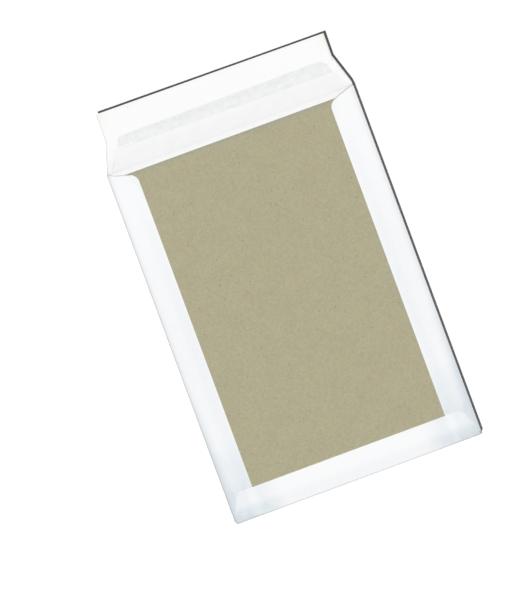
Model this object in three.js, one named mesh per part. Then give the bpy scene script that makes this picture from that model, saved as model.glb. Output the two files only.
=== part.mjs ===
// Board-backed envelope, size C4, lying on its address side with its flap open.
// Millimetres. X runs across it, Y from the bottom fold to the flap, Z up.
//
// The envelope is one die-cut sheet of paper. Its face panel lies underneath. Two side flaps
// and then the bottom flap fold up round the edges of a backing board and are glued on top
// of it, so that the pocket lies between the face panel and the board. The open flap carries
// a band of peel-and-seal adhesive under a wider strip of release paper.

import * as THREE from 'three';

// Finished size, between the outer faces of the folds
const envelopeWidth = 229;
const envelopeLength = 324;

// Stock
const paperThickness = 0.15;
const boardThickness = 0.65;
const seamGlueThickness = 0.05;
const adhesiveThickness = 0.06;
const linerThickness = 0.07;

// Room between the layers
const pocketGap = 0.35;
const layerGap = 0.01;

// A fold is a tight crease beside the face panel, a flank that leans in over the edge of the
// board, and a soft shoulder. Radii are those of the middle of the paper.
const creaseRadius = 0.25;
const flankSlope = 40;
const shoulderRadius = 1.2;

// Backing board, measured in from the outer faces of the folds and from the flap's crease
const boardSideInset = 2;
const boardBottomInset = 2;
const boardTopInset = 5;

// Side flaps: how far they fold in, the cut of their ends, and how far the ends keep clear of
// the bottom fold and the flap's crease
const sideFlapDepth = 25;
const sideFlapSlant = 16.5;
const sideFlapCornerRadius = 8.5;
const sideFlapBottomRelief = 2;
const sideFlapTopRelief = 0.2;

// Bottom flap: its ends run straight at first, and then slant in. It steps down from the side
// flaps onto the board.
const bottomFlapDepth = 26;
const bottomFlapStraight = 7.5;
const bottomFlapSlant = 25;
const bottomFlapCornerRadius = 6.5;
const bottomFlapEndRelief = 0.5;
const stepRun = 2.5;
const stepClearance = 0.4;

// Closure flap: its ends, too, run straight at first and then slant in. It springs up a little
// at its crease and levels off towards the liner's far edge, the sooner the larger its spring.
const flapDepth = 30;
const flapStraight = 2.5;
const flapEdgeWidth = 211;
const flapCornerRadius = 2.5;
const flapRise = 0.6;
const flapSpring = 8;

// Adhesive band along the flap's free edge, its width taken at the inner edge of the band
const adhesiveEdgeMargin = 0.5;
const adhesiveHeight = 11;
const adhesiveWidth = 201;
const adhesiveSlant = 33;
const adhesiveCornerRadius = 5;

// Release liner, laid on slightly askew and reaching past the flap's free edge
const linerWidth = 211;
const linerHeight = 34.6;
const linerOverhang = 22.8;
const linerSkew = 0.6;

// Glue seams under the side flaps and the bottom flap
const sideSeamWidth = 12;
const sideSeamInset = 8;
const sideSeamEndInset = 20;
const bottomSeamWidth = 10;
const bottomSeamInset = 10;
const bottomSeamEndInset = 18;

// Fineness of the curves
const creaseSteps = 8;
const shoulderSteps = 4;
const cornerSteps = 7;
const stepStations = 5;
const flapRowSpacing = 3;

const paperColour = 0xf8f8f8;
const boardColour = 0xb2ad90;
const linerColour = 0xfbfbf9;
const adhesiveColour = 0xe6e9e4;
const glueColour = 0xece8dc;

// Levels of the layers, from the underside of the face panel
const panelMiddle = paperThickness / 2;
const boardUnderside = paperThickness + pocketGap;
const boardTop = boardUnderside + boardThickness;
const seamBuild = seamGlueThickness + 2 * layerGap;
const flapOnBoard = boardTop + seamBuild + paperThickness / 2;
const flapOnFlap = flapOnBoard + paperThickness + seamBuild;

// The flat of the face panel ends where its folds begin to bend
const foldReach = creaseRadius + paperThickness / 2;
const panelHalfWidth = envelopeWidth / 2 - foldReach;
const panelBottom = foldReach;
const foldSteps = creaseSteps + 1 + shoulderSteps;

const flapReach = flapDepth + linerOverhang;
const linerStart = flapReach - linerHeight;

// The cut of both ends of a flap: straight at first, then slanted, then rounded into the free
// edge. Lengths are depths from the fold.
const sideCut = {
  depth: sideFlapDepth,
  straight: 0,
  slant: THREE.MathUtils.degToRad(sideFlapSlant),
  radius: sideFlapCornerRadius,
};
const bottomCut = {
  depth: bottomFlapDepth,
  straight: bottomFlapStraight,
  slant: THREE.MathUtils.degToRad(bottomFlapSlant),
  radius: bottomFlapCornerRadius,
};
const flapCut = {
  depth: flapDepth,
  straight: flapStraight,
  slant: Math.atan2(panelHalfWidth - flapEdgeWidth / 2, flapDepth - flapStraight),
  radius: flapCornerRadius,
};
const adhesiveCut = {
  depth: adhesiveHeight,
  straight: 0,
  slant: THREE.MathUtils.degToRad(adhesiveSlant),
  radius: adhesiveCornerRadius,
};

function surfacePoint(x, y, z, normal = new THREE.Vector3(0, 0, 1)) {
  return { position: new THREE.Vector3(x, y, z), normal };
}

// Closed sheet of even thickness around a middle surface. The surface is a list of grids of
// points, and grids that share points are joined there.
function thickSheet(grids, thickness) {
  const points = [];
  const numbers = new Map();
  const triangles = [];

  const numberOf = (point) => {
    if (!numbers.has(point)) {
      numbers.set(point, points.length);
      points.push(point);
    }
    return numbers.get(point);
  };

  const addTriangle = (a, b, c) => {
    if (a === b || b === c || c === a) return;
    const face = new THREE.Triangle(a.position, b.position, c.position);
    const facing = face.getNormal(new THREE.Vector3());
    const wanted = a.normal.clone().add(b.normal).add(c.normal);
    const corners = facing.dot(wanted) > 0 ? [a, b, c] : [a, c, b];
    triangles.push(corners.map(numberOf));
  };

  for (const grid of grids) {
    for (let row = 1; row < grid.length; row += 1) {
      const near = grid[row - 1];
      const far = grid[row];
      for (let column = 1; column < far.length; column += 1) {
        addTriangle(near[column - 1], near[column], far[column]);
        addTriangle(near[column - 1], far[column], far[column - 1]);
      }
    }
  }

  const positions = [];
  for (const side of [1, -1]) {
    for (const { position, normal } of points) {
      positions.push(...position.clone().addScaledVector(normal, (side * thickness) / 2));
    }
  }

  const under = points.length;
  const indices = [];
  const edges = new Set();
  for (const [a, b, c] of triangles) {
    indices.push(a, b, c, under + a, under + c, under + b);
    edges.add(`${a},${b}`).add(`${b},${c}`).add(`${c},${a}`);
  }
  for (const edge of edges) {
    const [a, b] = edge.split(',').map(Number);
    if (edges.has(`${b},${a}`)) continue;
    indices.push(a, under + a, under + b, a, under + b, b);
  }

  const geometry = new THREE.BufferGeometry();
  geometry.setAttribute('position', new THREE.Float32BufferAttribute(positions, 3));
  geometry.setIndex(indices);
  geometry.computeVertexNormals();
  return geometry;
}

// How far a cut takes the end of a flap back, at a depth from its fold
function endInset(cut, depth) {
  const centreDepth = cut.depth - cut.radius;
  if (depth <= cut.straight) return 0;
  if (depth <= centreDepth + cut.radius * Math.sin(cut.slant)) {
    return (depth - cut.straight) * Math.tan(cut.slant);
  }
  const slanted = (centreDepth - cut.straight) * Math.tan(cut.slant);
  const reach = Math.sqrt(Math.max(0, cut.radius ** 2 - (depth - centreDepth) ** 2));
  return slanted + cut.radius / Math.cos(cut.slant) - reach;
}

// Depths at which a cut turns, from its straight stretch to the free edge
function cutDepths(cut) {
  const depths = [cut.straight];
  for (let step = 0; step <= cornerSteps; step += 1) {
    const turn = (Math.PI / 2 - cut.slant) * (1 - step / cornerSteps);
    depths.push(cut.depth - cut.radius + cut.radius * Math.cos(turn));
  }
  return depths;
}

// The same depths with others set between them, for a flap that curves away from its fold
function closerDepths(depths) {
  const closer = [depths[0]];
  for (let index = 1; index < depths.length; index += 1) {
    const stretch = depths[index] - depths[index - 1];
    const parts = Math.ceil(stretch / flapRowSpacing);
    for (let part = 1; part <= parts; part += 1) {
      closer.push(depths[index - 1] + (stretch * part) / parts);
    }
  }
  return closer;
}

// Point number `step` of a fold, on its way from the flat panel round the crease, up the flank
// and over the shoulder to a level. It is measured outwards from the flat of the panel.
function foldPoint(step, level) {
  const flank = THREE.MathUtils.degToRad(flankSlope);
  const creaseRise = creaseRadius * (1 + Math.cos(flank));
  const shoulderRise = shoulderRadius * (1 - Math.cos(flank));
  const flankRise = level - panelMiddle - creaseRise - shoulderRise;
  const shoulderOut = (creaseRadius - shoulderRadius) * Math.sin(flank) - flankRise / Math.tan(flank);

  const over = step > creaseSteps;
  const turn = over
    ? Math.PI - flank * (1 - (step - creaseSteps - 1) / shoulderSteps)
    : (Math.PI - flank) * (step / creaseSteps);
  const radius = over ? shoulderRadius : creaseRadius;
  const centreOut = over ? shoulderOut : 0;
  const centreUp = over ? level - shoulderRadius : panelMiddle + creaseRadius;
  const out = centreOut + radius * Math.sin(turn);
  return {
    out,
    up: centreUp - radius * Math.cos(turn),
    depth: turn < Math.PI / 2 ? 0 : foldReach - out,
    normalOut: -Math.sin(turn),
    normalUp: Math.cos(turn),
  };
}

// The bottom flap lies on the board between the side flaps, and steps up onto each of them
const stepTop = envelopeWidth / 2 - sideFlapDepth - stepClearance;

function bottomFlapLevel(x) {
  const climb = THREE.MathUtils.smoothstep(Math.abs(x), stepTop - stepRun, stepTop);
  return THREE.MathUtils.lerp(flapOnBoard, flapOnFlap, climb);
}

function stepStationsAcross() {
  const right = [];
  for (let station = 0; station < stepStations; station += 1) {
    right.push(stepTop - stepRun * (1 - station / (stepStations - 1)));
  }
  return [...right.map((x) => -x).reverse(), ...right];
}

// Point of the open flap's middle surface, or of a layer at a height above it
function openFlapPoint(x, distance, height = 0) {
  const rest = 1 - distance / flapReach;
  const slope = (flapRise * flapSpring * rest ** (flapSpring - 1)) / flapReach;
  const normal = new THREE.Vector3(0, -slope, 1).normalize();
  const level = panelMiddle + flapRise * (1 - rest ** flapSpring);
  const point = surfacePoint(x, envelopeLength + distance, level, normal);
  point.position.addScaledVector(normal, height);
  return point;
}

function facePanel() {
  const bottomFlapEnd = panelHalfWidth - bottomFlapEndRelief;
  const columns = [-panelHalfWidth, -bottomFlapEnd, ...stepStationsAcross(), bottomFlapEnd, panelHalfWidth];
  const rows = [
    panelBottom,
    panelBottom + sideFlapBottomRelief,
    envelopeLength - sideFlapTopRelief,
    envelopeLength,
  ];
  return rows.map((y) => columns.map((x) => surfacePoint(x, y, panelMiddle)));
}

function sideFlap(panel, side) {
  const edge = side < 0 ? 0 : panel[0].length - 1;
  const grid = [[panel[1][edge], panel[2][edge]]];
  const [low, high] = grid[0].map((point) => point.position.y);
  const addRow = (x, z, inset, normal) => {
    grid.push([low + inset, high - inset].map((y) => surfacePoint(x, y, z, normal)));
  };

  let flatStart = 0;
  for (let step = 1; step <= foldSteps; step += 1) {
    const fold = foldPoint(step, flapOnBoard);
    const normal = new THREE.Vector3(side * fold.normalOut, 0, fold.normalUp);
    addRow(side * (panelHalfWidth + fold.out), fold.up, endInset(sideCut, fold.depth), normal);
    flatStart = fold.depth;
  }
  for (const depth of cutDepths(sideCut).filter((cut) => cut > flatStart)) {
    const x = side * (envelopeWidth / 2 - depth);
    addRow(x, flapOnBoard, endInset(sideCut, depth), new THREE.Vector3(0, 0, -1));
  }
  return grid;
}

// Row across the bottom flap: its two ends, and the stations that lie between them
function rowAcross(columns, halfWidth, pointAt) {
  const left = pointAt(-halfWidth);
  const right = pointAt(halfWidth);
  return columns.map((x, index) => {
    if (index === 0 || x <= -halfWidth) return left;
    if (index === columns.length - 1 || x >= halfWidth) return right;
    return pointAt(x);
  });
}

function bottomFlap(panel) {
  const first = panel[0].slice(1, -1);
  const columns = first.map((point) => point.position.x);
  const halfWidth = panelHalfWidth - bottomFlapEndRelief;
  const grid = [first];
  for (let step = 1; step <= foldSteps; step += 1) {
    grid.push(rowAcross(columns, halfWidth, (x) => {
      const fold = foldPoint(step, bottomFlapLevel(x));
      const normal = new THREE.Vector3(0, -fold.normalOut, fold.normalUp);
      return surfacePoint(x, panelBottom - fold.out, fold.up, normal);
    }));
  }
  for (const depth of cutDepths(bottomCut)) {
    grid.push(rowAcross(columns, halfWidth - endInset(bottomCut, depth), (x) => (
      surfacePoint(x, depth, bottomFlapLevel(x), new THREE.Vector3(0, 0, -1))
    )));
  }
  return grid;
}

function closureFlap(panel) {
  const first = panel[panel.length - 1];
  const grid = [first];
  for (const depth of closerDepths([0, ...cutDepths(flapCut)]).slice(1)) {
    const narrowing = 1 - endInset(flapCut, depth) / panelHalfWidth;
    grid.push(first.map((point) => openFlapPoint(point.position.x * narrowing, depth)));
  }
  return grid;
}

function envelopeSheet() {
  const panel = facePanel();
  const flaps = [sideFlap(panel, -1), sideFlap(panel, 1), bottomFlap(panel), closureFlap(panel)];
  return thickSheet([panel, ...flaps], paperThickness);
}

function backingBoard() {
  const length = envelopeLength - boardBottomInset - boardTopInset;
  const board = new THREE.BoxGeometry(envelopeWidth - 2 * boardSideInset, length, boardThickness);
  return board.translate(0, boardBottomInset + length / 2, boardUnderside + boardThickness / 2);
}

// Film of glue between the board and one side flap
function sideSeam(side) {
  const low = panelBottom + sideFlapBottomRelief + sideSeamEndInset;
  const length = envelopeLength - sideFlapTopRelief - sideSeamEndInset - low;
  const seam = new THREE.BoxGeometry(sideSeamWidth, length, seamGlueThickness);
  const x = side * (envelopeWidth / 2 - sideSeamInset - sideSeamWidth / 2);
  return seam.translate(x, low + length / 2, boardTop + layerGap + seamGlueThickness / 2);
}

// Film of glue under the bottom flap, which follows its step up onto the side flaps
function bottomSeam() {
  const halfWidth = envelopeWidth / 2 - bottomSeamEndInset;
  const columns = [-halfWidth, ...stepStationsAcross(), halfWidth];
  const below = paperThickness / 2 + layerGap + seamGlueThickness / 2;
  const grid = [bottomSeamInset, bottomSeamInset + bottomSeamWidth].map((y) => (
    rowAcross(columns, halfWidth, (x) => surfacePoint(x, y, bottomFlapLevel(x) - below))
  ));
  return thickSheet([grid], seamGlueThickness);
}

function adhesiveBand() {
  const above = paperThickness / 2 + layerGap + adhesiveThickness / 2;
  const start = flapDepth - adhesiveEdgeMargin - adhesiveHeight;
  const grid = closerDepths(cutDepths(adhesiveCut)).map((depth) => {
    const halfWidth = adhesiveWidth / 2 - endInset(adhesiveCut, depth);
    return [-halfWidth, halfWidth].map((x) => openFlapPoint(x, start + depth, above));
  });
  return thickSheet([grid], adhesiveThickness);
}

function releaseLiner() {
  const above = paperThickness / 2 + 2 * layerGap + adhesiveThickness + linerThickness / 2;
  const skew = THREE.MathUtils.degToRad(linerSkew);
  const middle = linerStart + linerHeight / 2;
  const grid = closerDepths([0, linerHeight]).map((depth) => {
    const along = depth - linerHeight / 2;
    return [-linerWidth / 2, linerWidth / 2].map((x) => openFlapPoint(
      x * Math.cos(skew) + along * Math.sin(skew),
      middle + along * Math.cos(skew) - x * Math.sin(skew),
      above,
    ));
  });
  return thickSheet([grid], linerThickness);
}

function piece(name, geometry, colour, roughness) {
  const material = new THREE.MeshStandardMaterial({ color: colour, roughness, metalness: 0 });
  const mesh = new THREE.Mesh(geometry, material);
  mesh.name = name;
  return mesh;
}

const envelope = new THREE.Group();
envelope.add(
  piece('envelope_sheet', envelopeSheet(), paperColour, 0.85),
  piece('backing_board', backingBoard(), boardColour, 0.95),
  piece('left_seam_glue', sideSeam(-1), glueColour, 0.5),
  piece('right_seam_glue', sideSeam(1), glueColour, 0.5),
  piece('bottom_seam_glue', bottomSeam(), glueColour, 0.5),
  piece('flap_adhesive', adhesiveBand(), adhesiveColour, 0.35),
  piece('release_liner', releaseLiner(), linerColour, 0.45),
);

// The origin lies under the middle of the opened envelope
const extent = new THREE.Box3().setFromObject(envelope);
envelope.position.y = -(extent.min.y + extent.max.y) / 2;

export default envelope;
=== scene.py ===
import math

import bmesh
import bpy
from mathutils import Matrix, Vector, noise


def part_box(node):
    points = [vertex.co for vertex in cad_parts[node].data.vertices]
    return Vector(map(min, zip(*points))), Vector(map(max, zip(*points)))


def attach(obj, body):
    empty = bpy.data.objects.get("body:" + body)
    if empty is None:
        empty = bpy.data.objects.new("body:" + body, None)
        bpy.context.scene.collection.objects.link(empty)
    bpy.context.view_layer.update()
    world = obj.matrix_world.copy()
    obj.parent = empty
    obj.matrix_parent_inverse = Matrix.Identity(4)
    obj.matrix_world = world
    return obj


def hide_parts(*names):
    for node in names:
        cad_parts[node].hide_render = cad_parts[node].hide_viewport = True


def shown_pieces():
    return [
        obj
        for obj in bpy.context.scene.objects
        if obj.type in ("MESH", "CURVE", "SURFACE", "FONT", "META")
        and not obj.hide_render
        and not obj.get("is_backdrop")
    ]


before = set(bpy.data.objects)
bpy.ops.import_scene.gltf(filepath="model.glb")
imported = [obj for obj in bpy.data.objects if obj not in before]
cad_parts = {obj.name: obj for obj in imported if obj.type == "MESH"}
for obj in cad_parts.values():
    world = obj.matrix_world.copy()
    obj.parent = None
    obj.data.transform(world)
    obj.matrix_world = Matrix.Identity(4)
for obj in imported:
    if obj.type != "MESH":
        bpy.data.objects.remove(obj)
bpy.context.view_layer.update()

bl_info = {
    "name": "Board-backed Envelope",
    "version": (1, 0, 0),
    "blender": (4, 5, 0),
    "location": "View3D > Sidebar > Envelope",
    "description": "Folds a board-backed envelope with an open flap, and lays it on a pale table",
    "category": "Add Mesh",
}

MM = 0.001
UP = Vector((0, 0, 1))

SHEET_LOW, SHEET_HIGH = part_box("envelope_sheet")
BOARD_LOW, BOARD_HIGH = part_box("backing_board")

# Gaps between layers, and the films that lie in them
LAYER_GAP = 0.01 * MM
GLUE_FILM = 0.05 * MM
ADHESIVE_FILM = 0.06 * MM
LINER_THICKNESS = 0.07 * MM

# Spacing of the sheet's stations, the turn between two of them round a fold, the angle from
# which an edge stays crisp, and how close together two points become one
GRID = 3 * MM
FLAP_GRID = 1.3 * MM
OPEN_FLAP_GRID = 1.5 * MM
STEP_GRID = 0.5 * MM
END_STATIONS = (0.0, 0.3 * MM, 1 * MM)
CREASE_TURN = math.radians(14)
SHOULDER_TURN = math.radians(5)
SHEET_CRISP = math.radians(50)
WELD = 0.001 * MM

# The fold along the sides and the bottom: crease, leaning flank, soft shoulder
CREASE_RADIUS = 0.25 * MM
FLANK_SLOPE = math.radians(40)
SHOULDER_RADIUS = 1.2 * MM

# The side flaps' cuts. The right one's upper cut runs late, the left one's starts flat, by an
# amount that grows over a run of depths from the fold
SIDE_SLANT = math.radians(16.5)
SIDE_CORNER = 8.5 * MM
SIDE_BOTTOM_RELIEF = 2 * MM
SIDE_TOP_RELIEF = 0.2 * MM
CUT_LATE = 1.1 * MM
CUT_LATE_RUN = (22.5 * MM, 14 * MM)
CUT_FLAT = 0.8 * MM
CUT_FLAT_RUN = (7 * MM, 2.5 * MM)

# The bottom flap's cuts, and its step from the board up onto the side flaps
BOTTOM_STRAIGHT = 7.5 * MM
BOTTOM_SLANT = math.radians(25)
BOTTOM_CORNER = 6.5 * MM
BOTTOM_END_RELIEF = 1.5 * MM
STEP_RUN = 2.5 * MM
STEP_CLEARANCE = 0.4 * MM

# Past their glue, the side and bottom flaps curl up off the board
SEAM_EDGE = 20.5 * MM
SIDE_CURL = 0.14 * MM
BOTTOM_CURL = 0.16 * MM
SIDE_TOP_CURL = 0.2 * MM
PANEL_BULGE = 0.1 * MM

# The open flap: its cuts, its spring at the crease, the lift of the crease's ends as a share of
# its rise and of the far corners as a share of its cockle, and its drift to the right
FLAP_STRAIGHT = 2.5 * MM
FLAP_CORNER = 1 * MM
FLAP_RISE = 0.6 * MM
FLAP_SPRING = 8
CREASE_END_LIFT = 1.1
CORNER_LIFT = 1.6
FLAP_DRIFT = 0.6 * MM
DRIFT_RUN = 6 * MM

# The adhesive band and the liner on the open flap
BAND_HEIGHT = 11 * MM
BAND_HALF_WIDTH = 100.5 * MM
BAND_SLANT = math.radians(33)
BAND_CORNER = 5 * MM
BAND_MARGIN = 1.2 * MM
BAND_GRID = 1.2 * MM
BAND_SHARE = 1 / 60
LINER_SHIFT = -0.35 * MM
LINER_EDGE = 0.35 * MM
LINER_GRID = 2 * MM

# The band as it shows through the liner, in millimetres: its start past the crease, the middle
# of its length, its height, and each end's side, half width, slant and corner radius
BAND_START = 17.1
BAND_MIDDLE = 1.2
BAND_SEEN = 12.6
BAND_ENDS = ((-1, 100.6, math.radians(26), 3.5), (1, 100.9, math.radians(17), 7.0))

# The board's edge: its wear, as shares of the arris and of the thickness, and its top edge,
# which lies a little high and askew
BOARD_ARRIS = 0.09 * MM
BOARD_GRID = 2 * MM
BOARD_CRISP = math.radians(60)
BOARD_PROFILE = (
    (0.55, 0.97), (0.9, 0.88), (1.0, 0.7), (0.93, 0.5), (1.0, 0.3), (0.9, 0.12), (0.55, 0.03),
)
BOARD_RISE = 0.4 * MM
BOARD_SKEW = 0.0034

# The lamps: elevation, heading of their light, and softness
TABLE_LAMP = (math.radians(17.8), math.radians(37.5), math.radians(2))
ENVELOPE_LAMP = (math.radians(72), math.radians(-124), math.radians(20))
TABLE_HALF = 3.0
TABLE_GAP = 0.02 * MM


def length(name, description, default):
    return bpy.props.FloatProperty(
        name=name,
        description=description,
        default=default,
        min=0.0,
        precision=5,
        subtype="DISTANCE",
        unit="LENGTH",
    )


def angle(name, description, default):
    return bpy.props.FloatProperty(
        name=name,
        description=description,
        default=math.radians(default),
        subtype="ANGLE",
        unit="ROTATION",
    )


def colour(name, description, default):
    return bpy.props.FloatVectorProperty(
        name=name,
        description=description,
        default=default,
        min=0.0,
        max=1.0,
        size=3,
        subtype="COLOR",
    )


def position(name, description, default):
    return bpy.props.FloatProperty(
        name=name, description=description, default=default, unit="LENGTH"
    )


def amount(name, description, default):
    return bpy.props.FloatProperty(
        name=name, description=description, default=default, min=0.0
    )


class EnvelopeSizes(bpy.types.PropertyGroup):
    width: length("Width", "Finished width, over the side folds", SHEET_HIGH.x - SHEET_LOW.x)
    length: length("Length", "Finished length, from the bottom fold to the flap's crease", 324 * MM)
    paper: length("Paper", "Thickness of the paper", 0.15 * MM)
    side_flap: length("Side flaps", "How far the side flaps fold in over the board", 25 * MM)
    bottom_flap: length("Bottom flap", "How far the bottom flap folds up over the board", 26 * MM)
    flap: length("Closure flap", "Depth of the open flap, from its crease", 30.7 * MM)
    flap_edge: length("Closure flap's edge", "Width of the flap's free edge", 210.5 * MM)
    liner_width: length("Liner width", "Width of the release liner", 211 * MM)
    liner_height: length("Liner height", "Height of the release liner", 34.6 * MM)
    liner_overhang: length("Liner overhang", "How far the liner reaches past the flap", 22.1 * MM)
    liner_skew: angle("Liner skew", "How far askew the liner lies", 0.6)
    cockle: length("Cockle", "How far the flap and its liner ripple", 0.12 * MM)


class EnvelopeFinishes(bpy.types.PropertyGroup):
    paper: colour("Paper", "White of the paper", (0.947, 0.949, 0.959))
    # Paper in shade is painted shade: the cool tone mixed in towards the lower folds
    paper_shade: colour("Paper in shade", "Cool tone near the lower folds", (0.735, 0.790, 0.830))
    # The flap's grey is painted shade between the open flap's slanting ends
    flap_shade_grey: colour("Paper inside", "Grey of the flap's shaded part", (0.903, 0.903, 0.903))
    board: colour("Board", "Khaki grey of the backing board", (0.440, 0.410, 0.274))
    liner: colour("Release liner", "White of the release liner", (0.938, 0.938, 0.937))
    band: colour("Adhesive band", "Grey green under the liner", (0.835, 0.851, 0.843))
    adhesive: colour("Adhesive", "Body colour of the adhesive film", (0.79, 0.82, 0.78))
    glue: colour("Seam glue", "Dried glue of the seams", (0.84, 0.81, 0.72))


class EnvelopeStage(bpy.types.PropertyGroup):
    camera_height: length("Camera height", "Height of the camera over the table", 2.5)
    camera_turn: angle("Camera turn", "How far the camera is turned round its own axis", -20.3)
    camera_x: position("Camera X", "Place of the camera across the envelope", -0.02794)
    camera_y: position("Camera Y", "Place of the camera along the envelope", -0.01182)
    lens: amount("Lens", "Focal length of the camera in millimetres", 172.05)
    sky: amount("Sky", "Even light from all round", 0.12)
    key: amount("Key light", "Share of the envelope's light that its own lamp gives", 0.908)
    table_light: amount("Table light", "Share of the table's light that its own lamp gives", 0.92)


class Term:
    """A socket in a shader sum, whose operators add Math nodes to its finish."""

    def __init__(self, finish, socket):
        self.finish = finish
        self.socket = socket

    def math(self, operation, *terms):
        return self.finish.add("ShaderNodeMath", {"operation": operation}, terms)

    def __add__(self, other):
        return self.math("ADD", self, other)

    def __radd__(self, other):
        return self.math("ADD", other, self)

    def __sub__(self, other):
        return self.math("SUBTRACT", self, other)

    def __rsub__(self, other):
        return self.math("SUBTRACT", other, self)

    def __mul__(self, other):
        return self.math("MULTIPLY", self, other)

    def __truediv__(self, other):
        return self.math("DIVIDE", self, other)

    def __pow__(self, other):
        return self.math("POWER", self, other)

    def __abs__(self):
        return self.math("ABSOLUTE", self)

    def lowest(self, other):
        return self.math("MINIMUM", self, other)

    def highest(self, other):
        return self.math("MAXIMUM", self, other)

    def rise(self, start, end):
        """Smooth climb from 0 at start to 1 at end, which may be the lower of the two."""
        settings = {"interpolation_type": "SMOOTHSTEP"}
        return self.finish.add("ShaderNodeMapRange", settings, (self, start, end, 0.0, 1.0))

    def rise_mm(self, run):
        """The same climb over a run given in metres, for a term in millimetres."""
        return self.rise(run[0] / MM, run[1] / MM)


class Finish:
    """The material of one kind of piece, built from nodes around one Principled BSDF."""

    def __init__(self, name, **constants):
        self.material = bpy.data.materials.new(name)
        self.material.use_nodes = True
        self.tree = self.material.node_tree
        self.tree.nodes.clear()
        self.shader = self.tree.nodes.new("ShaderNodeBsdfPrincipled")
        output = self.tree.nodes.new("ShaderNodeOutputMaterial")
        self.tree.links.new(self.shader.outputs[0], output.inputs["Surface"])
        for socket, value in constants.items():
            self.feed(socket.replace("_", " "), value)
        metres = {"Vector": self.add("ShaderNodeTexCoord", output="Object"), "Scale": 1 / MM}
        self.place = self.add("ShaderNodeVectorMath", {"operation": "SCALE"}, metres)
        self.x, self.y, self.z = (self.axis(letter) for letter in "XYZ")

    def add(self, kind, settings=None, values=(), output=0):
        """Any node: its type, its settings, then the values or links of its sockets."""
        node = self.tree.nodes.new(kind)
        for setting, value in (settings or {}).items():
            setattr(node, setting, value)
        sockets = values.items() if isinstance(values, dict) else enumerate(values)
        for socket, value in sockets:
            if isinstance(value, Term):
                self.tree.links.new(value.socket, node.inputs[socket])
            elif value is not None:
                node.inputs[socket].default_value = value
        return Term(self, node.outputs[output])

    def axis(self, letter):
        """One coordinate of the place, in millimetres."""
        return self.add("ShaderNodeSeparateXYZ", {}, (self.place,), output=letter)

    def feed(self, socket, value):
        """Give a socket of the shader a plain value or a link."""
        target = self.shader.inputs[socket]
        if isinstance(value, Term):
            self.tree.links.new(value.socket, target)
        else:
            target.default_value = value

    def mix(self, low, high, factor):
        """Colour between two others."""
        values = {0: factor, 6: self.opaque(low), 7: self.opaque(high)}
        return self.add("ShaderNodeMix", {"data_type": "RGBA"}, values, output=2)

    def tint(self, base, by):
        """Colour times a grey term."""
        settings = {"data_type": "RGBA", "blend_type": "MULTIPLY"}
        grey = self.add("ShaderNodeCombineXYZ", {}, (by, by, by))
        values = {0: 1.0, 6: self.opaque(base), 7: grey}
        return self.add("ShaderNodeMix", settings, values, output=2)

    @staticmethod
    def opaque(value):
        return value if isinstance(value, Term) else (*value, 1.0)

    def stretched(self, x, y, z):
        """The place with its axes stretched, for fibres that lie along one of them."""
        return self.add("ShaderNodeVectorMath", {"operation": "MULTIPLY"}, (self.place, (x, y, z)))

    def noise(self, scale, detail=2.0, roughness=0.5, place=None):
        """Noise with scale features a millimetre, about 0.5 on average."""
        values = {"Vector": place or self.place, "Scale": scale}
        values |= {"Detail": detail, "Roughness": roughness}
        return self.add("ShaderNodeTexNoise", {}, values)

    def cells(self, scale):
        """Distance to the nearest of scattered points, scale of them a millimetre."""
        values = {"Vector": self.place, "Scale": scale}
        return self.add("ShaderNodeTexVoronoi", {"feature": "F1"}, values, output="Distance")

    def bump(self, height, distance):
        """Feed the shader's normal from a height, whose full range stands for a distance."""
        values = {"Height": height, "Distance": distance}
        self.feed("Normal", self.add("ShaderNodeBump", {}, values, output="Normal"))


def spread(start, end, spacing):
    """Even stations from start to end, no further apart than spacing."""
    count = max(1, math.ceil(abs(end - start) / spacing - 1e-6))
    return [start + (end - start) * step / count for step in range(count + 1)]


def smooth(value, start, end):
    """Smooth climb from 0 at start to 1 at end."""
    share = min(1.0, max(0.0, (value - start) / (end - start)))
    return share * share * (3 - 2 * share)


def ripple(across, along, seed):
    """Gentle unevenness of paper between -1 and 1."""
    return noise.noise(Vector((across, along, seed)))


class Cut:
    """Cut of both ends of a flap: straight at first, then slanted, then rounded."""

    def __init__(self, depth, straight, slant, radius):
        self.depth = depth
        self.straight = straight
        self.slant = slant
        self.radius = radius

    def inset(self, depth):
        """How far the end is set back at a depth from the fold."""
        centre = self.depth - self.radius
        if depth <= self.straight:
            return 0.0
        if depth <= centre + self.radius * math.sin(self.slant):
            return (depth - self.straight) * math.tan(self.slant)
        slanted = (centre - self.straight) * math.tan(self.slant)
        reach = math.sqrt(max(0.0, self.radius**2 - (depth - centre) ** 2))
        return slanted + self.radius / math.cos(self.slant) - reach

    def depths(self, start, spacing, steps=14):
        """Depths from start to the free edge, close together round the corner."""
        turns = [(math.pi / 2 - self.slant) * (1 - step / steps) for step in range(steps + 1)]
        corner = [self.depth - self.radius + self.radius * math.cos(turn) for turn in turns]
        return spread(start, corner[0], spacing)[:-1] + corner


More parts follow.
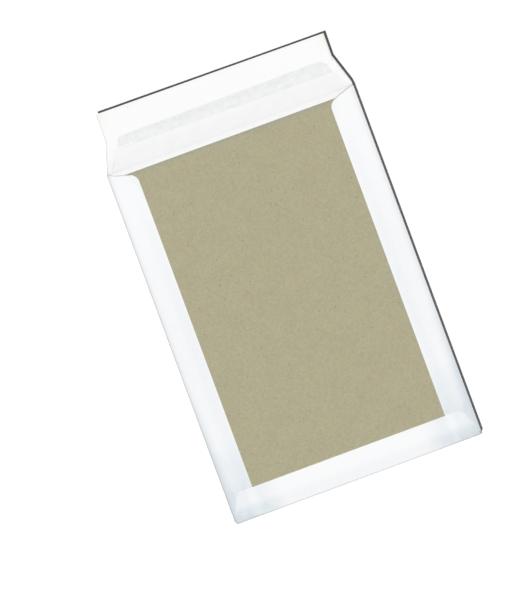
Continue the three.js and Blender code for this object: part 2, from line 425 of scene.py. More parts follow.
class SheetPlan:
    """Measures and levels of the folded sheet, worked out from the sizes."""

    def __init__(self, sizes):
        self.sizes = sizes
        self.paper = sizes.paper
        self.half_width = sizes.width / 2
        self.bottom = SHEET_LOW.y
        self.crease = self.bottom + sizes.length
        self.panel_level = self.paper / 2
        self.on_board = BOARD_HIGH.z + GLUE_FILM + 2 * LAYER_GAP + self.paper / 2
        self.on_flap = self.on_board + self.paper + GLUE_FILM + 2 * LAYER_GAP
        self.reach = CREASE_RADIUS + self.paper / 2
        self.panel_half = self.half_width - self.reach
        self.step_top = self.half_width - sizes.side_flap - STEP_CLEARANCE
        self.flap_reach = sizes.flap + sizes.liner_overhang
        self.side = Cut(sizes.side_flap, 0.0, SIDE_SLANT, SIDE_CORNER)
        self.tuck = Cut(sizes.bottom_flap, BOTTOM_STRAIGHT, BOTTOM_SLANT, BOTTOM_CORNER)
        flap_slant = math.atan2(self.panel_half - sizes.flap_edge / 2, sizes.flap - FLAP_STRAIGHT)
        self.flap = Cut(sizes.flap, FLAP_STRAIGHT, flap_slant, FLAP_CORNER)
        self.band = Cut(BAND_HEIGHT, 0.0, BAND_SLANT, BAND_CORNER)

    def fold(self, level):
        """Points of a fold that ends flat at a level, as distance outwards, height and depth."""
        crease_turns = spread(0.0, math.pi - FLANK_SLOPE, CREASE_TURN)
        shoulder_turns = spread(math.pi - FLANK_SLOPE, math.pi, SHOULDER_TURN)
        crease_rise = CREASE_RADIUS * (1 + math.cos(FLANK_SLOPE))
        shoulder_rise = SHOULDER_RADIUS * (1 - math.cos(FLANK_SLOPE))
        flank_rise = level - self.panel_level - crease_rise - shoulder_rise
        shoulder_out = (CREASE_RADIUS - SHOULDER_RADIUS) * math.sin(FLANK_SLOPE)
        shoulder_out -= flank_rise / math.tan(FLANK_SLOPE)
        points = []
        for turn in crease_turns[1:]:
            out = CREASE_RADIUS * math.sin(turn)
            up = self.panel_level + CREASE_RADIUS * (1 - math.cos(turn))
            points.append((out, up, 0.0 if turn < math.pi / 2 else self.reach - out))
        for turn in shoulder_turns:
            out = shoulder_out + SHOULDER_RADIUS * math.sin(turn)
            up = level - SHOULDER_RADIUS * (1 + math.cos(turn))
            points.append((out, up, self.reach - out))
        return points

    def tuck_level(self, x):
        """Level of the bottom flap, which steps up from the board onto the side flaps."""
        climb = smooth(abs(x), self.step_top - STEP_RUN, self.step_top)
        return self.on_board + (self.on_flap - self.on_board) * climb

    def columns(self):
        """Stations across the face panel."""
        right = spread(0.0, self.step_top - STEP_RUN - MM, GRID)
        right += spread(self.step_top - STEP_RUN, self.step_top, STEP_GRID)
        tuck_end = self.panel_half - BOTTOM_END_RELIEF
        right += [*spread(self.step_top + MM, tuck_end - MM, GRID), tuck_end, self.panel_half]
        return [-x for x in reversed(right[1:])] + right

    def rows(self):
        """Stations along the face panel, from the bottom fold to the flap's crease."""
        low = self.reach + SIDE_BOTTOM_RELIEF
        high = self.sizes.length - SIDE_TOP_RELIEF
        lower = [low + step for step in END_STATIONS]
        upper = [high - step for step in reversed(END_STATIONS)]
        middle = spread(low + 2 * MM, high - 2 * MM, GRID)
        return [self.reach, *lower, *middle, *upper, self.sizes.length]

    def open_flap(self, x, distance, height=0.0):
        """Point of the open flap, or of a layer at a height above it."""
        share = distance / self.flap_reach
        rest = 1 - share
        slope = FLAP_RISE * FLAP_SPRING * rest ** (FLAP_SPRING - 1) / self.flap_reach
        normal = Vector((0, -slope, 1)).normalized()
        # Cockles and raised corners grow towards the far edge; the crease's ends rise at once
        lift = self.sizes.cockle * share**1.3 * ripple(x / (55 * MM), distance / (35 * MM), 1.7)
        lift += CORNER_LIFT * self.sizes.cockle * share**4 * abs(x / self.half_width) ** 6
        crease_end = smooth(distance, 0, 1.5 * MM) * smooth(abs(x), 95 * MM, 108 * MM)
        lift += CREASE_END_LIFT * FLAP_RISE * crease_end * rest**FLAP_SPRING
        x += FLAP_DRIFT * smooth(distance, 0, DRIFT_RUN)
        level = self.panel_level + FLAP_RISE * (1 - rest**FLAP_SPRING)
        return Vector((x, self.crease + distance, level)) + normal * (height + lift)


def face_panel(plan):
    """The face panel, which lies on the table."""
    def level(x, y):
        inside = smooth(plan.panel_half - abs(x), 0, 20 * MM) * smooth(y, 0, 20 * MM)
        inside *= smooth(plan.sizes.length - y, 0, 12 * MM)
        bulge = 0.5 + ripple(x / (45 * MM), y / (60 * MM), 4.2)
        return plan.panel_level + PANEL_BULGE * inside * bulge

    columns = plan.columns()
    return [[Vector((x, plan.bottom + y, level(x, y))) for x in columns] for y in plan.rows()]


def side_flap(plan, side):
    """One side flap, from the panel's edge round the fold and over the board."""
    rows = plan.rows()[1:-1]
    low, high = rows[0], rows[-1]
    shares = [(y - low) / (high - low) for y in rows]
    grid = [[Vector((side * plan.panel_half, plan.bottom + y, plan.panel_level)) for y in rows]]

    def add_row(x, z, depth):
        inset = plan.side.inset(depth)
        late = CUT_LATE * smooth(depth, *CUT_LATE_RUN)
        if side < 0:
            late = CUT_FLAT * smooth(depth, *CUT_FLAT_RUN)
        late *= smooth(depth, 0, 1.2 * MM)
        row = []
        for share in shares:
            y = low + inset + share * (high - low - 2 * inset + late)
            loose = smooth(depth, SEAM_EDGE, plan.side.depth + 2 * MM) * smooth(y, 30 * MM, 60 * MM)
            top_end = smooth(y, high - 45 * MM, high)
            top_end *= smooth(depth, 6 * MM, plan.side.depth + 4 * MM)
            lift = loose * SIDE_CURL * (0.7 + ripple(side * 9.1, y / (38 * MM), 7.3))
            lift += top_end * SIDE_TOP_CURL
            row.append(Vector((side * x, plan.bottom + y, z + lift)))
        grid.append(row)

    depth = 0.0
    for out, up, depth in plan.fold(plan.on_board):
        add_row(plan.panel_half + out, up, depth)
    for depth in plan.side.depths(depth, FLAP_GRID)[1:]:
        add_row(plan.half_width - depth, plan.on_board, depth)
    return grid


def bottom_flap(plan):
    """The bottom flap, folded up last, over the board and the ends of the side flaps."""
    columns = plan.columns()[1:-1]
    half = plan.panel_half - BOTTOM_END_RELIEF
    first = plan.rows()[0]
    grid = [[Vector((x, plan.bottom + first, plan.panel_level)) for x in columns]]
    folds = {x: plan.fold(plan.tuck_level(x)) for x in columns}
    depth = 0.0
    for step in range(len(folds[0.0])):
        row = []
        for x in columns:
            out, up, depth = folds[x][step]
            row.append(Vector((x, plan.bottom + plan.reach - out, up)))
        grid.append(row)
    deepest = max(points[-1][2] for points in folds.values())
    for depth in plan.tuck.depths(deepest + 0.4 * MM, FLAP_GRID):
        narrowing = 1 - plan.tuck.inset(depth) / half
        row = []
        for x in columns:
            across = x * narrowing
            loose = smooth(depth, SEAM_EDGE, plan.tuck.depth + 2 * MM)
            lift = loose * BOTTOM_CURL * (0.7 + ripple(across / (42 * MM), 3.3, 2.9))
            row.append(Vector((across, plan.bottom + depth, plan.tuck_level(across) + lift)))
        grid.append(row)
    return grid


def closure_flap(plan):
    """The open flap, which springs up a little from its crease."""
    grid = []
    for depth in plan.flap.depths(0.0, OPEN_FLAP_GRID):
        narrowing = 1 - plan.flap.inset(depth) / plan.panel_half
        grid.append([plan.open_flap(x * narrowing, depth) for x in plan.columns()])
    return grid


def sheet_mesh(name, grids, thickness):
    """Closed sheet of even thickness round a middle surface."""
    middle = bmesh.new()
    for grid in grids:
        rows = [[middle.verts.new(point) for point in row] for row in grid]
        for near, far in zip(rows, rows[1:]):
            for column in range(len(near) - 1):
                middle.faces.new((near[column], near[column + 1], far[column + 1], far[column]))
    bmesh.ops.remove_doubles(middle, verts=middle.verts, dist=WELD)
    bmesh.ops.recalc_face_normals(middle, faces=middle.faces)
    if sum(face.normal.z * face.calc_area() for face in middle.faces) < 0:
        bmesh.ops.reverse_faces(middle, faces=middle.faces)
    middle.normal_update()
    middle.verts.index_update()
    count = len(middle.verts)
    points = [vert.co + vert.normal * thickness / 2 for vert in middle.verts]
    points += [vert.co - vert.normal * thickness / 2 for vert in middle.verts]
    faces = [[vert.index for vert in face.verts] for face in middle.faces]
    faces += [[vert.index + count for vert in reversed(face.verts)] for face in middle.faces]
    for edge in middle.edges:
        if edge.is_boundary:
            loop = edge.link_loops[0]
            a, b = loop.vert.index, loop.link_loop_next.vert.index
            faces.append([b, a, a + count, b + count])
    middle.free()
    mesh = bpy.data.meshes.new(name)
    mesh.from_pydata(points, [], faces)
    mesh.shade_smooth()
    sharpen(mesh, SHEET_CRISP)
    return mesh


def sharpen(mesh, limit):
    """Keep a crisp line in the shading wherever faces meet more steeply than the limit."""
    work = bmesh.new()
    work.from_mesh(mesh)
    for edge in work.edges:
        edge.smooth = edge.calc_face_angle(0.0) < limit
    work.to_mesh(mesh)
    work.free()


def board_mesh(name):
    """The backing board, cut with a faintly uneven, pressed edge."""
    xs = spread(BOARD_LOW.x + BOARD_ARRIS, BOARD_HIGH.x - BOARD_ARRIS, BOARD_GRID)
    ys = spread(BOARD_LOW.y + BOARD_ARRIS, BOARD_HIGH.y - BOARD_ARRIS, BOARD_GRID)
    wide, long = len(xs), len(ys)
    ring = [(column, 0) for column in range(wide - 1)]
    ring += [(wide - 1, row) for row in range(long - 1)]
    ring += [(column, long - 1) for column in range(wide - 1, 0, -1)]
    ring += [(0, row) for row in range(long - 1, 0, -1)]

    def askew(x, y):
        return y + (BOARD_RISE - x * BOARD_SKEW) * smooth(y, 0, BOARD_HIGH.y)

    points = [Vector((x, askew(x, y), BOARD_HIGH.z)) for y in ys for x in xs]
    points += [Vector((x, askew(x, y), BOARD_LOW.z)) for y in ys for x in xs]

    def corner(column, row):
        return row * wide + column

    below = wide * long
    faces = []
    for row in range(long - 1):
        for column in range(wide - 1):
            near = [corner(column, row), corner(column + 1, row)]
            far = [corner(column + 1, row + 1), corner(column, row + 1)]
            faces.append(near + far)
            faces.append([below + index for index in reversed(near + far)])

    rings = [[corner(*place) for place in ring]]
    for out, height in BOARD_PROFILE:
        level = BOARD_LOW.z + (BOARD_HIGH.z - BOARD_LOW.z) * height
        indices = []
        for column, row in ring:
            side = Vector(((column == wide - 1) - (column == 0), (row == long - 1) - (row == 0), 0))
            rough = 1 + 0.5 * ripple((column - row) * 0.7, level / (0.1 * MM), 5.1)
            indices.append(len(points))
            reach = BOARD_ARRIS * min(1.0, out * rough)
            point = Vector((xs[column], askew(xs[column], ys[row]), level))
            points.append(point + side.normalized() * reach)
        rings.append(indices)
    rings.append([below + corner(*place) for place in ring])
    for upper, lower in zip(rings, rings[1:]):
        for index, start in enumerate(upper):
            after = (index + 1) % len(upper)
            faces.append([upper[after], start, lower[index], lower[after]])
    mesh = bpy.data.meshes.new(name)
    mesh.from_pydata(points, [], faces)
    mesh.shade_smooth()
    sharpen(mesh, BOARD_CRISP)
    return mesh


class SheetPlaces:
    """Where a point of the sheet lies, in millimetres, as terms of its finish."""

    def __init__(self, finish, plan):
        self.x = finish.x
        self.across = abs(finish.x)
        self.along = finish.y - plan.bottom / MM
        self.from_fold = plan.half_width / MM - self.across
        self.past_crease = finish.y - plan.crease / MM
        self.over_board = finish.z.rise(0.55, 0.95) * self.past_crease.rise(0.2, -0.2)
        self.off_board = 1.0 - self.over_board
        between_side_flaps = self.across.rise(89.6, 88.8) * self.along.rise(27.5, 26.5)
        self.on_bottom_flap = between_side_flaps.highest(finish.z.rise(1.44, 1.52))


def folded_shade(at):
    """Cool shade of the glued flaps, deepest along the folds and in the lower corners."""
    lower = at.along.rise(310.0, 150.0) * 0.35
    lower = lower + at.along.rise(76.0, 46.0) * 0.65 + at.along.rise(46.0, 20.0) * 0.6
    glued = at.from_fold.rise(12.0, 18.0) * at.from_fold.rise(24.5, 22.5)
    glued = glued * at.along.rise(300.0, 270.0)
    outer = at.from_fold.rise(9.0, 1.0) * (0.2 + at.along.rise(140.0, 55.0) * 1.05)
    corner = at.from_fold.rise(9.0, 4.0) * at.along.rise(40.0, 24.0) * 0.7
    on_sides = lower + glued * 0.3 + outer + corner
    dip = abs(at.across - 92.4).rise(6.5, 1.0)
    on_bottom = at.across.rise(62.0, 86.0) * (0.85 - dip * 0.45)
    on_bottom = on_bottom + at.along.rise(15.5, 7.0) * (0.5 + at.across.rise(62.0, 88.0) * 0.65)
    return on_sides + (on_bottom - on_sides) * at.on_bottom_flap


def open_flap_tone(finish, at, tone, colours):
    """Neutral white past the crease, painted shade between the slanting ends, and a bluish grey
    patch at the left end.
    """
    tone = finish.mix(tone, (0.949, 0.949, 0.950), at.past_crease.rise(0.0, 2.0) * at.off_board)
    # Painted shade between the open flap's slanting ends, deepest near the crease
    inner_edge = 102.3 + (17.6 - at.past_crease) * 0.56 - abs(at.x - FLAP_DRIFT / MM)
    strength = 0.85 - at.past_crease.rise(11.0, 16.0) * 0.25
    inside = at.off_board * inner_edge.rise(-1.5, 1.5) * strength
    tone = finish.mix(tone, colours.flap_shade_grey, inside)
    # A bluish grey patch at the open flap's left end
    patch_x, patch_y = at.x + 107.5, at.past_crease - 4.0
    from_patch = (patch_x * patch_x + patch_y * patch_y) ** 0.5
    grey_patch = from_patch.rise(11.0, 5.0) * at.past_crease.rise(-0.3, 0.3)
    return finish.mix(tone, (0.895, 0.905, 0.926), grey_patch * 0.75)


def nick_mark(at):
    """Short slanting nick at the open flap's left end."""
    x, y = at.x + 106.5, at.past_crease - 5.6
    return abs(x * 0.802 - y * 0.597).rise(1.2, 0.2) * abs(x * 0.597 + y * 0.802).rise(4.6, 2.2)


def cut_shadow(at, plan):
    """Thin shadow that the side flaps' upper cuts cast on the panel."""
    right = at.x.rise(0.0, 1.0)
    late = at.from_fold.rise_mm(CUT_LATE_RUN) * CUT_LATE / MM + at.from_fold.rise(12.0, 0.0) * 0.3
    flat = at.from_fold.rise_mm(CUT_FLAT_RUN) * CUT_FLAT / MM
    late = right * late + at.x.rise(0.0, -1.0) * flat
    start = (plan.sizes.length - SIDE_TOP_RELIEF) / MM
    past_cut = at.along - start + at.from_fold * math.tan(SIDE_SLANT) - late
    line = abs(past_cut).rise(0.95, 0.25)
    line = line * at.from_fold.rise(21.0, 19.0) * at.across.rise(85.0, 89.0)
    return line * (0.28 + at.from_fold.rise(2.0, 8.0) * right * 0.1)


def painted_edge_shade(at, plan):
    """How much darker painted shade makes the sheet along its crease, cut edges, folds and lower
    corners, less the painted light along the bottom fold.
    """
    # Painted shade in the open flap's crease
    crease = abs(at.past_crease - 0.5).rise(1.8, 0.2) * 0.028
    # Painted shade along the open flap's slanting cut edges
    past_straight = (at.past_crease - FLAP_STRAIGHT / MM).highest(0.0)
    flap_half = plan.panel_half / MM - past_straight * math.tan(plan.flap.slant)
    to_flap_edge = flap_half - abs(at.x - FLAP_DRIFT / MM)
    flap_edge = to_flap_edge.rise(1.9, 0.2) * at.off_board * at.past_crease.rise(0.0, 1.0) * 0.2
    # Painted shade along the side folds
    fold = at.from_fold.rise(4.4, 0.6) * at.over_board * 0.09
    # Painted shade in the lower corners, near the bottom fold and up the sides
    low_end = at.along.rise(9.0, 2.0) * at.along.rise(0.4, 1.8)
    low_end = low_end * at.across.rise(88.0, 100.0) * 0.075
    low_side = at.across.rise(104.0, 110.0) * at.along.rise(34.0, 26.0) * 0.03
    # Painted shadow on the side flaps beside the bottom flap's free edge
    past_bottom_flap = at.along.rise(29.0, 26.8) * (1.0 - at.on_bottom_flap) * 0.012
    past_bottom_flap = past_bottom_flap * at.across.rise(89.0, 90.5) * at.across.rise(111.0, 106.0)
    # Painted light along the bottom fold, taken off the darkening
    bottom_fold = at.along.rise(2.0, 0.6) * 0.072
    # Painted shadow in the gap at the lower right corner where the folds meet
    tip = at.x.rise(112.7, 113.5) * at.along.rise(2.8, 1.8) * 0.5
    lines = crease + flap_edge + fold + low_end + low_side + past_bottom_flap
    return lines + tip - bottom_fold


def paper_finish(colours, sizes):
    """Smooth uncoated white paper, with painted shade that makes it cooler and darker towards the
    lower folds.
    """
    plan = SheetPlan(sizes)
    finish = Finish("smooth_white_paper", Roughness=0.85, Specular_IOR_Level=0.25)
    at = SheetPlaces(finish, plan)
    clouds = finish.noise(0.09, detail=3.0)
    blotches = finish.noise(0.3, detail=3.0, roughness=0.6)
    fibres = finish.noise(1.0, detail=4.0, roughness=0.6, place=finish.stretched(1.9, 0.5, 1.9))
    strands = finish.noise(1.0, detail=3.0, roughness=0.6, place=finish.stretched(0.6, 2.2, 1.0))

    # Painted shade: a cool, darker, blotchy tone towards the lower folds and corners of the folded
    # flaps
    shade = folded_shade(at)
    shade = shade + (blotches - 0.5) * shade * 0.9
    tone = finish.mix(colours.paper, colours.paper_shade, (shade * at.over_board * 0.5).lowest(1.0))
    tone = open_flap_tone(finish, at, tone, colours)

    nick = nick_mark(at)
    # The sheet's painted edge shade, the painted shadow of the side flaps' cuts, and the nick's
    # dark mark
    dark = painted_edge_shade(at, plan) + cut_shadow(at, plan) + nick * 0.085
    grain = 0.975 + clouds * 0.022 + blotches * 0.012 + fibres * 0.014
    grain = grain + (clouds - 0.5) * at.off_board * 0.045
    finish.feed("Base Color", finish.tint(tone, grain * (1.0 - dark)))
    finish.bump(fibres * 0.5 + strands * 0.3 + clouds * 0.8 - nick * 1.5, 0.03 * MM)
    finish.feed("Roughness", 0.78 + fibres * 0.14)
    return finish.material


def board_finish(colours):
    """Raw recycled board: mottled khaki, flecked and fibrous, with painted shade that makes it
    greyer at its top edge.
    """
    finish = Finish("recycled_board", Specular_IOR_Level=0.2)
    mottle = finish.noise(0.45, detail=4.0, roughness=0.62)
    patches = finish.noise(0.05, detail=2.0)
    fibres = finish.noise(1.0, detail=5.0, roughness=0.7, place=finish.stretched(0.35, 1.5, 1.5))
    strands = finish.noise(1.0, detail=5.0, roughness=0.7, place=finish.stretched(1.6, 0.4, 1.6))
    grain = finish.noise(1.4, detail=4.0, roughness=0.7)
    hue = finish.noise(0.12, detail=3.0)
    flecks = finish.cells(0.13).rise(0.085, 0.035)
    to_top = (BOARD_HIGH.y + BOARD_RISE) / MM - finish.x * BOARD_SKEW - finish.y
    level = 0.395 + mottle * 0.38 + patches * 0.08 + (fibres + strands) * 0.2 + grain * 0.32
    tone = finish.mix(colours.board, (0.465, 0.407, 0.268), hue.rise(0.5, 0.75) * 0.38)
    tone = finish.mix(tone, (0.430, 0.425, 0.288), hue.rise(0.5, 0.28) * 0.38)
    # Painted shade along the board's top edge, greyer and darker
    tone = finish.mix(tone, (0.387, 0.379, 0.295), to_top.rise(4.4, 0.7) * 0.95)
    tone = finish.mix(finish.tint(tone, level), (0.16, 0.14, 0.09), flecks * 0.85)
    finish.feed("Base Color", tone)
    finish.feed("Roughness", 0.86 + grain * 0.12)
    finish.bump(mottle * 0.6 + fibres + strands + grain * 0.5, 0.06 * MM)
    return finish.material


def band_mask(finish, plan):
    """How far a point lies inside the band seen through the liner, and past its start."""
    up = finish.y - (plan.crease / MM + BAND_START)
    across = finish.x - BAND_MIDDLE
    depth = up + across * 0.0105 - finish.x.rise(-68.0, -88.0) * 1.7
    far = BAND_SEEN + across * 0.0035 - up
    inside = depth
    for side, half, slant, radius in BAND_ENDS:
        slanted = (half - across * side) * math.cos(slant) - up * math.sin(slant)
        beyond_far = (radius - far).highest(0.0)
        beyond_end = (radius - slanted).highest(0.0)
        beyond = (beyond_far**2.0 + beyond_end**2.0) ** 0.5
        inside = inside.lowest(radius - beyond)
    return inside, depth


def liner_finish(colours, sizes):
    """Satin release paper, through which the adhesive shows as a grey green band."""
    plan = SheetPlan(sizes)
    finish = Finish("release_paper", Specular_IOR_Level=0.2)
    blotches = finish.noise(0.16, detail=3.0, roughness=0.55)
    mottle = finish.noise(0.42, detail=4.0, roughness=0.65)
    streaks = finish.noise(1.0, detail=3.0, place=finish.stretched(0.12, 0.8, 1.0))
    fine = finish.noise(2.5, detail=3.0, roughness=0.6)

    inside, depth = band_mask(finish, plan)
    level = 0.832 + blotches * 0.22 + mottle * 0.12 + streaks * 0.02
    # The band darkens in its upper part, and gets a darker line along its lower edge, painted shade
    # at the liner's lower edge
    level = level - depth.rise(5.5, 8.5) * 0.028 - depth.rise(1.6, 0.4) * 0.022
    band = finish.tint(colours.band, level)
    plain = finish.tint(colours.liner, 0.9975 + fine * 0.005)
    tone = finish.mix(plain, band, inside.rise(-0.5, 0.9))

    past_crease = finish.y - plan.crease / MM
    to_top = plan.flap_reach / MM - past_crease - finish.x * math.sin(sizes.liner_skew)
    to_end = sizes.liner_width / MM / 2 - abs(finish.x - (FLAP_DRIFT + LINER_SHIFT) / MM)
    aged = (to_end.rise(10.0, 1.0) * to_top.rise(18.0, 3.0)).highest(to_top.rise(4.0, 0.8) * 0.45)
    tone = finish.mix(tone, (0.905, 0.897, 0.850), aged * 0.8)

    speck_x, speck_y = finish.x + 76.6, past_crease - 50.0
    speck = (speck_x * speck_x + speck_y * speck_y).rise(1.2, 0.1)
    # Painted shade along the liner's side edges, from near the flap's free edge upwards
    side_edge_shade = to_end.rise(1.8, 0.2) * (past_crease - sizes.flap / MM).rise(-4.7, -2.7)
    finish.feed("Base Color", finish.tint(tone, 1.0 - side_edge_shade * 0.19 - speck * 0.14))
    finish.feed("Roughness", 0.5 + mottle * 0.12)
    finish.bump(mottle * 0.5 + fine * 0.3 + streaks * 0.4, 0.02 * MM)
    return finish.material


def adhesive_finish(colours):
    """Tacky pressure-sensitive adhesive, faintly lumpy."""
    finish = Finish("peel_and_seal_adhesive", Specular_IOR_Level=0.5)
    lumps = finish.noise(0.6, detail=3.0)
    strings = finish.noise(1.0, detail=2.0, place=finish.stretched(0.15, 1.2, 1.0))
    finish.feed("Base Color", finish.tint(colours.adhesive, 0.95 + lumps * 0.08))
    finish.feed("Roughness", 0.25 + lumps * 0.25)
    finish.bump(lumps + strings * 0.6, 0.04 * MM)
    return finish.material


def glue_finish(colours):
    """Dried seam glue with small bubbles."""
    finish = Finish("dried_seam_glue", Specular_IOR_Level=0.45)
    clouds = finish.noise(0.35, detail=3.0)
    bubbles = finish.cells(0.7)
    finish.feed("Base Color", finish.tint(colours.glue, 0.93 + clouds * 0.1))
    finish.feed("Roughness", 0.4 + clouds * 0.2)
    finish.bump(clouds * 0.5 + bubbles * 0.5, 0.03 * MM)
    return finish.material


def add_piece(mesh, material, node):
    """Show a mesh in place of a CAD node."""
    mesh.materials.append(material)
    piece = bpy.data.objects.new(mesh.name, mesh)
    bpy.context.scene.collection.objects.link(piece)
    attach(piece, "root")
    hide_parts(node)


class FoldPaperSheet(bpy.types.Operator):
    """Fold the sheet of paper round the backing board and open its flap"""

    bl_idname = "envelope.fold_paper_sheet"
    bl_label = "Fold Paper Sheet"

    def execute(self, context):
        sizes, colours = context.scene.envelope_sizes, context.scene.envelope_finishes
        plan = SheetPlan(sizes)
        sides = [side_flap(plan, -1), side_flap(plan, 1)]
        grids = [face_panel(plan), *sides, bottom_flap(plan), closure_flap(plan)]
        mesh = sheet_mesh("paper_sheet", grids, plan.paper)
        add_piece(mesh, paper_finish(colours, sizes), "envelope_sheet")
        return {"FINISHED"}


class CutBackingBoard(bpy.types.Operator):
    """Cut the backing board to size"""

    bl_idname = "envelope.cut_backing_board"
    bl_label = "Cut Backing Board"

    def execute(self, context):
        material = board_finish(context.scene.envelope_finishes)
        add_piece(board_mesh("board"), material, "backing_board")
        return {"FINISHED"}


class SpreadAdhesive(bpy.types.Operator):
    """Spread the adhesive band on the flap, and finish the glued seams"""

    bl_idname = "envelope.spread_adhesive"
    bl_label = "Spread Adhesive and Glue"

    def execute(self, context):
        sizes, colours = context.scene.envelope_sizes, context.scene.envelope_finishes
        plan = SheetPlan(sizes)
        above = plan.paper / 2 + LAYER_GAP + ADHESIVE_FILM / 2
        start = sizes.flap - BAND_MARGIN - plan.band.depth
        grid = []
        shares = spread(-1, 1, BAND_SHARE)
        for depth in plan.band.depths(0.0, BAND_GRID):
            half = BAND_HALF_WIDTH - plan.band.inset(depth)
            grid.append([plan.open_flap(half * share, start + depth, above) for share in shares])
        mesh = sheet_mesh("adhesive_band", [grid], ADHESIVE_FILM)
        add_piece(mesh, adhesive_finish(colours), "flap_adhesive")
        glue = glue_finish(colours)
        for name in ("left_seam_glue", "right_seam_glue", "bottom_seam_glue"):
            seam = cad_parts[name]
            seam.data.materials.clear()
            seam.data.materials.append(glue)
        return {"FINISHED"}


class LayReleaseLiner(bpy.types.Operator):
    """Lay the release liner over the adhesive"""

    bl_idname = "envelope.lay_release_liner"
    bl_label = "Lay Release Liner"

    def execute(self, context):
        sizes, colours = context.scene.envelope_sizes, context.scene.envelope_finishes
        plan = SheetPlan(sizes)
        above = plan.paper / 2 + 2 * LAYER_GAP + ADHESIVE_FILM + LINER_THICKNESS / 2
        skew = Matrix.Rotation(-sizes.liner_skew, 2)
        half, half_width = sizes.liner_height / 2, sizes.liner_width / 2
        middle = plan.flap_reach - half
        inner, inner_width = half - LINER_EDGE, half_width - LINER_EDGE
        across = [-half_width, *spread(-inner_width, inner_width, LINER_GRID), half_width]
        grid = []
        for along in (-half, *spread(-inner, inner, OPEN_FLAP_GRID), half):
            turned = [skew @ Vector((x, along)) for x in across]
            laid = [(point.x + LINER_SHIFT, middle + point.y) for point in turned]
            grid.append([plan.open_flap(x, distance, above) for x, distance in laid])
        mesh = sheet_mesh("release_paper_strip", [grid], LINER_THICKNESS)
        add_piece(mesh, liner_finish(colours, sizes), "release_liner")
        return {"FINISHED"}


def add_sun(name, strength, elevation, heading, softness, receivers):
    """A sun that lights only its receivers, and gives a level white surface its strength."""
    lamp = bpy.data.lights.new(name, "SUN")
    lamp.energy = strength * math.pi / math.sin(elevation)
    lamp.angle = softness
    sun = bpy.data.objects.new(name, lamp)
    flat = Vector((math.cos(heading), math.sin(heading), 0)) * math.cos(elevation)
    towards = flat - UP * math.sin(elevation)
    sun.location = -towards
    sun.rotation_euler = towards.to_track_quat("-Z", "Y").to_euler()
    bpy.context.scene.collection.objects.link(sun)
    lit = bpy.data.collections.new(name + "_receivers")
    for receiver in receivers:
        lit.objects.link(receiver)
    sun.light_linking.receiver_collection = lit


def table_finish():
    """White table, plain white to the camera and a little darker as a source of bounced light."""
    material = bpy.data.materials.new("white_table")
    material.use_nodes = True
    nodes, links = material.node_tree.nodes, material.node_tree.links
    nodes.clear()
    path = nodes.new("ShaderNodeLightPath")
    tone = nodes.new("ShaderNodeMix")
    tone.data_type = "RGBA"
    tone.inputs[6].default_value = (0.8, 0.8, 0.8, 1)
    tone.inputs[7].default_value = (1, 1, 1, 1)
    surface = nodes.new("ShaderNodeBsdfDiffuse")
    output = nodes.new("ShaderNodeOutputMaterial")
    links.new(path.outputs["Is Camera Ray"], tone.inputs[0])
    links.new(tone.outputs[2], surface.inputs["Color"])
    links.new(surface.outputs[0], output.inputs["Surface"])
    return material


def white_world(strength):
    """Even white light, which the camera and reflections see as plain white."""
    world = bpy.data.worlds.new("white_studio")
    world.use_nodes = True
    nodes, links = world.node_tree.nodes, world.node_tree.links
    nodes.clear()
    path = nodes.new("ShaderNodeLightPath")
    glossy = nodes.new("ShaderNodeMath")
    glossy.operation = "MAXIMUM"
    seen = nodes.new("ShaderNodeMath")
    seen.operation = "MAXIMUM"
    level = nodes.new("ShaderNodeMapRange")
    level.inputs["To Min"].default_value = strength
    level.inputs["To Max"].default_value = 1.0
    background = nodes.new("ShaderNodeBackground")
    output = nodes.new("ShaderNodeOutputWorld")
    links.new(path.outputs["Is Glossy Ray"], glossy.inputs[0])
    links.new(path.outputs["Is Transmission Ray"], glossy.inputs[1])
    links.new(path.outputs["Is Camera Ray"], seen.inputs[0])
    links.new(glossy.outputs[0], seen.inputs[1])
    links.new(seen.outputs[0], level.inputs["Value"])
    links.new(level.outputs[0], background.inputs["Strength"])
    links.new(background.outputs[0], output.inputs["Surface"])
    return world


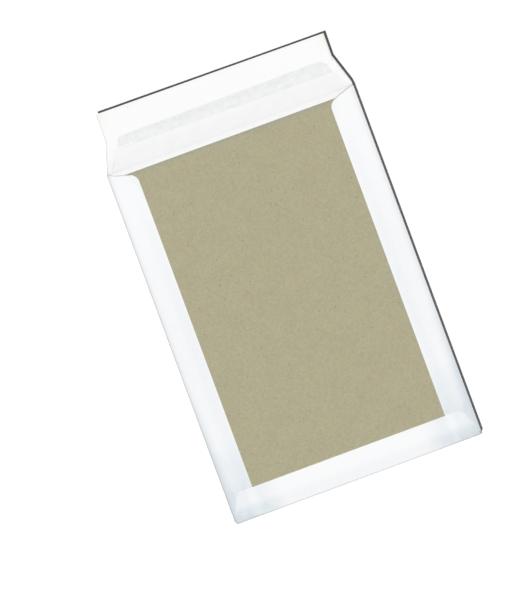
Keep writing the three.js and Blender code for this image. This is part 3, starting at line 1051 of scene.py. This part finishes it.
class SetStage(bpy.types.Operator):
    """Lay the white table, hang the lamps and set the camera straight above"""

    bl_idname = "envelope.set_stage"
    bl_label = "Set Stage"

    def execute(self, context):
        scene, stage = context.scene, context.scene.envelope_stage
        mesh = bpy.data.meshes.new("table")
        sides = ((-1, -1), (1, -1), (1, 1), (-1, 1))
        corners = [(x * TABLE_HALF, y * TABLE_HALF, -TABLE_GAP) for x, y in sides]
        mesh.from_pydata(corners, [], [(0, 1, 2, 3)])
        mesh.materials.append(table_finish())
        table = bpy.data.objects.new("table", mesh)
        scene.collection.objects.link(table)
        table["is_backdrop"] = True

        add_sun("table_light", stage.table_light, *TABLE_LAMP, [table])
        add_sun("envelope_light", stage.key, *ENVELOPE_LAMP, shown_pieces())

        scene.world = white_world(stage.sky)
        scene.view_settings.view_transform = "Standard"

        lens = bpy.data.cameras.new("camera")
        lens.lens = stage.lens
        lens.clip_end = 100
        camera = bpy.data.objects.new("camera", lens)
        camera.location = (stage.camera_x, stage.camera_y, stage.camera_height)
        camera.rotation_euler = (0, 0, stage.camera_turn)
        scene.collection.objects.link(camera)
        scene.camera = camera
        return {"FINISHED"}


OPERATORS = (FoldPaperSheet, CutBackingBoard, SpreadAdhesive, LayReleaseLiner, SetStage)


class EnvelopePanel(bpy.types.Panel):
    """Sizes, finishes and steps of the board-backed envelope"""

    bl_idname = "VIEW3D_PT_board_backed_envelope"
    bl_label = "Board-backed Envelope"
    bl_space_type = "VIEW_3D"
    bl_region_type = "UI"
    bl_category = "Envelope"

    def draw(self, context):
        layout = self.layout
        layout.use_property_split = True
        for title, group in (
            ("Sizes", context.scene.envelope_sizes),
            ("Finishes", context.scene.envelope_finishes),
            ("Stage", context.scene.envelope_stage),
        ):
            box = layout.box()
            box.label(text=title)
            for name in group.__annotations__:
                box.prop(group, name)
        for operator in OPERATORS:
            layout.operator(operator.bl_idname)


GROUPS = {
    "envelope_sizes": EnvelopeSizes,
    "envelope_finishes": EnvelopeFinishes,
    "envelope_stage": EnvelopeStage,
}


def register():
    for made in (*GROUPS.values(), *OPERATORS, EnvelopePanel):
        bpy.utils.register_class(made)
    for name, group in GROUPS.items():
        setattr(bpy.types.Scene, name, bpy.props.PointerProperty(type=group))


def unregister():
    for name in GROUPS:
        delattr(bpy.types.Scene, name)
    for made in reversed((*GROUPS.values(), *OPERATORS, EnvelopePanel)):
        bpy.utils.unregister_class(made)


def main():
    register()
    bpy.ops.envelope.fold_paper_sheet()
    bpy.ops.envelope.cut_backing_board()
    bpy.ops.envelope.spread_adhesive()
    bpy.ops.envelope.lay_release_liner()
    bpy.ops.envelope.set_stage()


if __name__ == "__main__":
    main()
